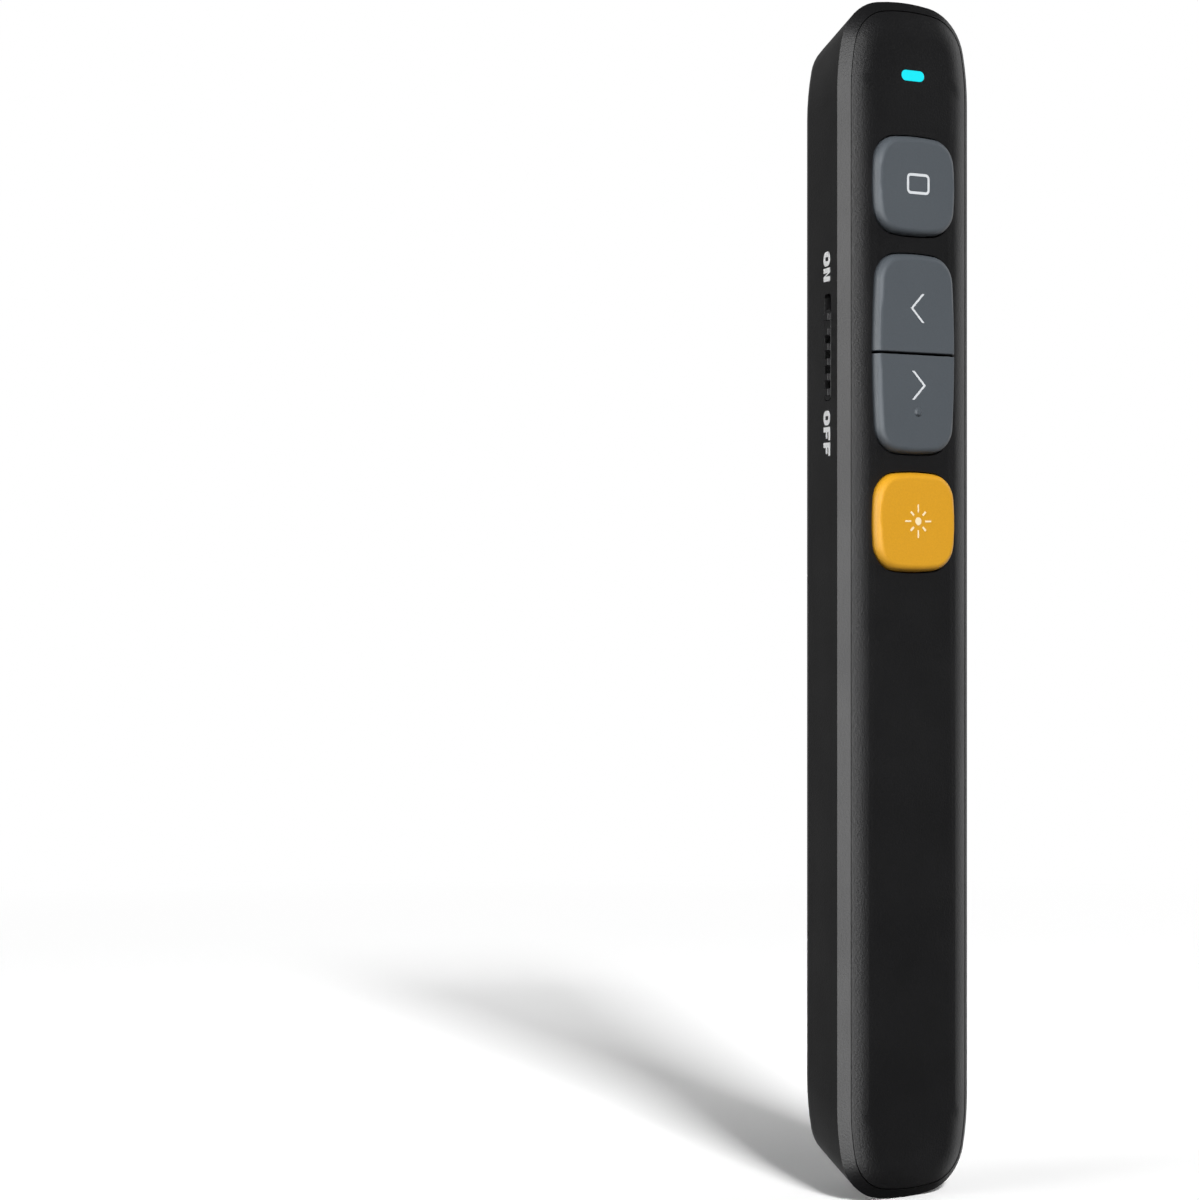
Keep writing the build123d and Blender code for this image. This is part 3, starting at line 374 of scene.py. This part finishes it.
def printed(name, shape, ink, spot, normal, right, body):
    """Turns flat faces, drawn in mm, into a thin layer of ink that lies on a surface."""
    outward = Vector(normal).normalized()
    across = Vector(right).normalized()
    lifted = bmesh.ops.extrude_face_region(shape, geom=shape.faces[:])
    raised = [v for v in lifted["geom"] if isinstance(v, bmesh.types.BMVert)]
    bmesh.ops.translate(shape, verts=raised, vec=(0, 0, ink_thickness))
    turn = Matrix((across, outward.cross(across), outward)).transposed().to_4x4()
    place = Matrix.Translation(Vector(spot)) @ turn @ Matrix.Scale(mm, 4)
    bmesh.ops.transform(shape, matrix=place, verts=shape.verts)
    bmesh.ops.recalc_face_normals(shape, faces=shape.faces)
    mesh = bpy.data.meshes.new(name)
    shape.to_mesh(mesh)
    shape.free()
    piece = bpy.data.objects.new(name, mesh)
    piece.data.materials.append(ink)
    bpy.context.collection.objects.link(piece)
    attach(piece, body)
    return piece


def ring(shape, width, height, stroke, corner, steps=6):
    """A rounded frame, drawn as a strip between its outer and its inner outline."""
    loops = []
    for inset in (0, stroke):
        loop = []
        for quarter, (side, end) in enumerate(((1, 1), (-1, 1), (-1, -1), (1, -1))):
            for step in range(steps + 1):
                angle = (quarter + step / steps) * pi / 2
                x = side * (width / 2 - corner) + (corner - inset) * cos(angle)
                y = end * (height / 2 - corner) + (corner - inset) * sin(angle)
                loop.append(shape.verts.new((x, y, 0)))
        loops.append(loop)
    outer, inner = loops
    for k in range(len(outer)):
        shape.faces.new((outer[k - 1], outer[k], inner[k], inner[k - 1]))


def filled(shape, outline, soften=0.05):
    """A filled polygon whose corners are slightly rounded."""
    verts = [shape.verts.new((x, y, 0)) for x, y in outline]
    shape.faces.new(verts)
    bmesh.ops.bevel(
        shape,
        geom=verts,
        offset=soften,
        segments=2,
        profile=0.5,
        affect="VERTICES",
        material=-1,
    )


# The blank screen's sign: an empty rounded frame, a little above the key's middle
sign_width, sign_height, sign_stroke, sign_corner, sign_rise = 3.5, 2.5, 0.32, 0.60, 0.2
low, high = corners("blank_screen_key")
sign = bmesh.new()
ring(sign, sign_width, sign_height, sign_stroke, sign_corner)
middle = (0, low.y, (low.z + high.z) / 2 + sign_rise * mm)
printed("blank_screen_sign", sign, grey_ink, middle, (0, -1, 0), (1, 0, 0), "blank_key")

# The page signs: an angle each way, above and below the split between the two keys
reach, half, stroke = 0.97, 1.75, 0.38
split = (corners("previous_key")[0].z + corners("next_key")[1].z) / 2
for name, body, side, rise in (
    ("previous_sign", "previous_page_key", -1, 5.5),
    ("next_sign", "next_page_key", 1, -3.8),
):
    sign = bmesh.new()
    filled(
        sign,
        [
            (-side * reach, half),
            (-side * (reach - stroke), half),
            (side * (reach + stroke / 2), 0),
            (-side * (reach - stroke), -half),
            (-side * reach, -half),
            (side * (reach - stroke / 2), 0),
        ],
    )
    middle = (0, low.y, split + rise * mm)
    printed(name, sign, grey_ink, middle, (0, -1, 0), (1, 0, 0), body)

# The laser's sign: a dot with four long rays and four short ones between them, each ray given
# by its thickness, its length and how far out its middle is
dot_radius, long_ray, short_ray, sign_rise = 0.48, (0.20, 0.95, 1.55), (0.26, 0.65, 1.30), 0.1
low, high = corners("laser_key")
sign = bmesh.new()
bmesh.ops.create_circle(sign, cap_ends=True, segments=24, radius=dot_radius)
for count in range(8):
    thick, length, centre = short_ray if count % 2 else long_ray
    made = bmesh.ops.create_grid(sign, x_segments=1, y_segments=1, size=0.5)
    bmesh.ops.scale(sign, vec=(thick, length, 1), verts=made["verts"])
    bmesh.ops.translate(sign, vec=(0, centre, 0), verts=made["verts"])
    bmesh.ops.rotate(sign, matrix=Matrix.Rotation(count * pi / 4, 3, "Z"), verts=made["verts"])
middle = (0, low.y, (low.z + high.z) / 2 + sign_rise * mm)
printed("laser_sign", sign, cream_ink, middle, (0, -1, 0), (1, 0, 0), "laser_button")

# ---- Indicator lens -----------------------------------------------------------------------
# A cyan-tinted acrylic light pipe that carries the status light up to the cover.  Lit, it is
# the one bright thing on the black face.
acrylic, tree = new_material("lit_cyan_acrylic")
lit = add_node(
    tree,
    "ShaderNodeBsdfPrincipled",
    Base_Color=linear("#0C6A72"),
    Roughness=0.30,
    IOR=1.49,
    Emission_Color=linear("#1AE6F2"),
    Emission_Strength=0.85,
)
add_node(tree, "ShaderNodeOutputMaterial", links={"Surface": lit.outputs[0]})
lens = merged_copy("indicator_lens", "indicator_light", 0.0)
lens.data.materials.append(acrylic)
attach(lens, "casing")
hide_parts("indicator_lens")

# ---- Volume key ---------------------------------------------------------------------------
# A long rocker of black ABS in the right side, in the case's own grain, with a plus and a
# minus printed beside it.
rocker = merged_copy("volume_key", "volume_rocker_cap", 0.0)
rocker.data.materials.append(black_abs)
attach(rocker, "volume_rocker")
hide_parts("volume_key")

controls_depth = 9.2  # how far in front of the flat back the side controls' middle is
controls_y = corners("rear_housing")[1].y - controls_depth * mm
shape = bmesh.new()
shape.from_mesh(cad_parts["rear_housing"].data)
housing_wall = BVHTree.FromBMesh(shape)
shape.free()


def on_wall(side, forward, up):
    """Where a line straight in from one side meets the housing, and the wall's normal there."""
    start = (side, controls_y - forward * mm, up)
    spot, normal, _, _ = housing_wall.ray_cast(start, (-side, 0, 0))
    return spot, normal


bar, arm, sign_gap, sign_soften = 0.5, 0.95, 2.0, 0.03
half = bar / 2
plus = [(-half, -arm), (half, -arm), (half, -half), (arm, -half), (arm, half), (half, half)]
plus += [(-x, -y) for x, y in plus]
minus = [(-half, -arm), (half, -arm), (half, arm), (-half, arm)]
low, high = corners("volume_key")
for name, outline, height in (
    ("plus_sign", plus, high.z + sign_gap * mm),
    ("minus_sign", minus, low.z - sign_gap * mm),
):
    sign = bmesh.new()
    filled(sign, outline, sign_soften)
    printed(name, sign, white_ink, *on_wall(1, 0, height), (0, 0, 1), "casing")

# ---- Power switch -------------------------------------------------------------------------
# A ribbed slide of black ABS, sunk in the left side, with ON and OFF printed at its two ends.
# Its ribs show as a row of small dark notches.
slide = merged_copy("power_knob", "power_slide_knob", 0.03)
slide.data.materials.append(black_abs)
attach(slide, "power_slider")
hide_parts("power_knob")

letter_height, letter_width, letter_stroke = 2.30, 1.62, 0.60


def letter(shape, kind, at):
    """A bold capital, its left edge at a distance along the word."""
    half, wide, bold = letter_height / 2, letter_width, letter_stroke
    inner = wide - bold
    outlines = {
        "N": [
            (0, -half),
            (bold, -half),
            (bold, half * 0.35),
            (inner, -half),
            (wide, -half),
            (wide, half),
            (inner, half),
            (inner, -half * 0.35),
            (bold, half),
            (0, half),
        ],
        "F": [
            (0, -half),
            (bold, -half),
            (bold, -half * 0.28),
            (wide * 0.85, -half * 0.28),
            (wide * 0.85, half * 0.18),
            (bold, half * 0.18),
            (bold, half * 0.52),
            (wide, half * 0.52),
            (wide, half),
            (0, half),
        ],
    }
    if kind == "O":
        drawn = set(shape.verts)
        ring(shape, wide * 1.08, letter_height, bold * 1.05, wide * 0.5)
        made = [vertex for vertex in shape.verts if vertex not in drawn]
        bmesh.ops.translate(shape, verts=made, vec=(at + wide * 0.54, 0, 0))
    else:
        filled(shape, [(at + x, y) for x, y in outlines[kind]], 0.04)


# Each word starts so far above the knob's lower end; a round letter takes a little more room
on_rise, off_rise, behind_middle = 19.9, 0.7, 0.3
knob_end = corners("power_knob")[0].z
for name, word, rise in (("on_label", "ON", on_rise), ("off_label", "OFF", off_rise)):
    sign = bmesh.new()
    at = 0.0
    for kind in word:
        letter(sign, kind, at)
        at += letter_width * (1.22 if kind == "O" else 1.16)
    spot = on_wall(-1, -behind_middle, knob_end + rise * mm)
    printed(name, sign, white_ink, *spot, (0, 0, -1), "casing")

# ---- Battery door and latch ---------------------------------------------------------------
# The door is moulded from the same black ABS as the housing, and so is its sliding latch; a
# fine dark gap runs round both.
for node, name, body in (
    ("battery_door", "door_moulding", "door"),
    ("door_latch", "latch_bar_moulding", "latch"),
):
    panel = merged_copy(node, name, 0.05)
    panel.data.materials.append(black_abs)
    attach(panel, body)
    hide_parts(node)

# ---- USB receiver -------------------------------------------------------------------------
# A black cap over a plug of folded nickel-plated steel, with a white tongue and gilt contacts.
# It lies in the clicker's lower end and shows when it is pulled out.
cap = merged_copy("receiver_cap", "receiver_grip", 0.08)
cap.data.materials.append(black_abs)
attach(cap, "receiver")
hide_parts("receiver_cap")


def plated_metal(name, colour, rough, grain=0.4):
    """Plated metal whose sheen wanders a little with how the plating took."""
    sheen_drift = 0.08
    material, tree = new_material(name)
    place = add_node(tree, "ShaderNodeTexCoord")
    drift = add_node(
        tree,
        "ShaderNodeTexNoise",
        links={"Vector": place.outputs["Object"]},
        Scale=1 / (grain * mm),
        Detail=4.0,
    )
    sheen = add_node(
        tree,
        "ShaderNodeMapRange",
        links={"Value": drift.outputs[0]},
        To_Min=rough - sheen_drift,
        To_Max=rough + sheen_drift,
    )
    metal = add_node(
        tree,
        "ShaderNodeBsdfPrincipled",
        links={"Roughness": sheen.outputs[0]},
        Base_Color=linear(colour),
        Metallic=1.0,
    )
    add_node(tree, "ShaderNodeOutputMaterial", links={"Surface": metal.outputs[0]})
    return material


def finished(material, *nodes):
    """Gives a material to CAD nodes that are shown as they were packed."""
    for node in nodes:
        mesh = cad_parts[node].data
        mesh.materials.clear()
        mesh.materials.append(material)


nickel = plated_metal("nickel_plated_steel", "#C9C7C2", 0.30)
gilt = plated_metal("gold_plated_contacts", "#E2B75A", 0.25)
white_nylon = moulded_plastic("moulded_white_nylon", "#DEDDD8", 0.45, 0.25, 0.003)
finished(nickel, "receiver_shell")
finished(white_nylon, "receiver_tongue")
finished(gilt, "receiver_contacts")

# ---- Laser module -------------------------------------------------------------------------
# A turned brass barrel with its diode and its lens, behind a clear acrylic window in the
# clicker's upper end.
turned_brass = plated_metal("turned_brass", "#C79A4B", 0.28)
clear_acrylic, tree = new_material("clear_acrylic")
clear = add_node(
    tree,
    "ShaderNodeBsdfPrincipled",
    Base_Color=linear("#F4F4F4"),
    Roughness=0.05,
    IOR=1.49,
    Transmission_Weight=1.0,
)
add_node(tree, "ShaderNodeOutputMaterial", links={"Surface": clear.outputs[0]})
finished(clear_acrylic, "laser_window", "laser_lens")
finished(turned_brass, "laser_barrel")
finished(nickel, "laser_diode")

# ---- Main board ---------------------------------------------------------------------------
# A glass-fibre board under green solder mask, with its screws, radio chip, crystal and LED.
# It shows only if the cover is taken off.
solder_mask = moulded_plastic("green_solder_mask", "#1E6B3E", 0.32, 0.50, 0.004)
black_nylon = moulded_plastic("moulded_black_nylon", "#202022", 0.50, 0.25, 0.004)
finished(solder_mask, "main_board")
finished(nickel, "board_screws", "crystal")
finished(black_nylon, "radio_chip")
finished(white_nylon, "status_led")

# ---- Switches -----------------------------------------------------------------------------
# Small tact switches of black nylon with their plungers, and the power switch, which has a
# folded steel body.
finished(black_nylon, "key_switches", "volume_switches", "power_switch_lever")
finished(black_nylon, "blank_screen_plunger", "previous_plunger", "next_plunger")
finished(black_nylon, "laser_plunger", "volume_plungers")
finished(nickel, "power_switch")

# ---- Battery cell and contacts ------------------------------------------------------------
# An AAA cell in its printed shrink sleeve, between nickel-plated spring steel contacts.  They
# show when the door is open.
cell_wrap = moulded_plastic("shrink_sleeve", "#4A4E55", 0.30, 0.60, 0.002)
finished(cell_wrap, "battery_sleeve")
finished(nickel, "battery_cell", "positive_contact", "spring_plate", "battery_spring")
finished(nickel, "negative_strap")
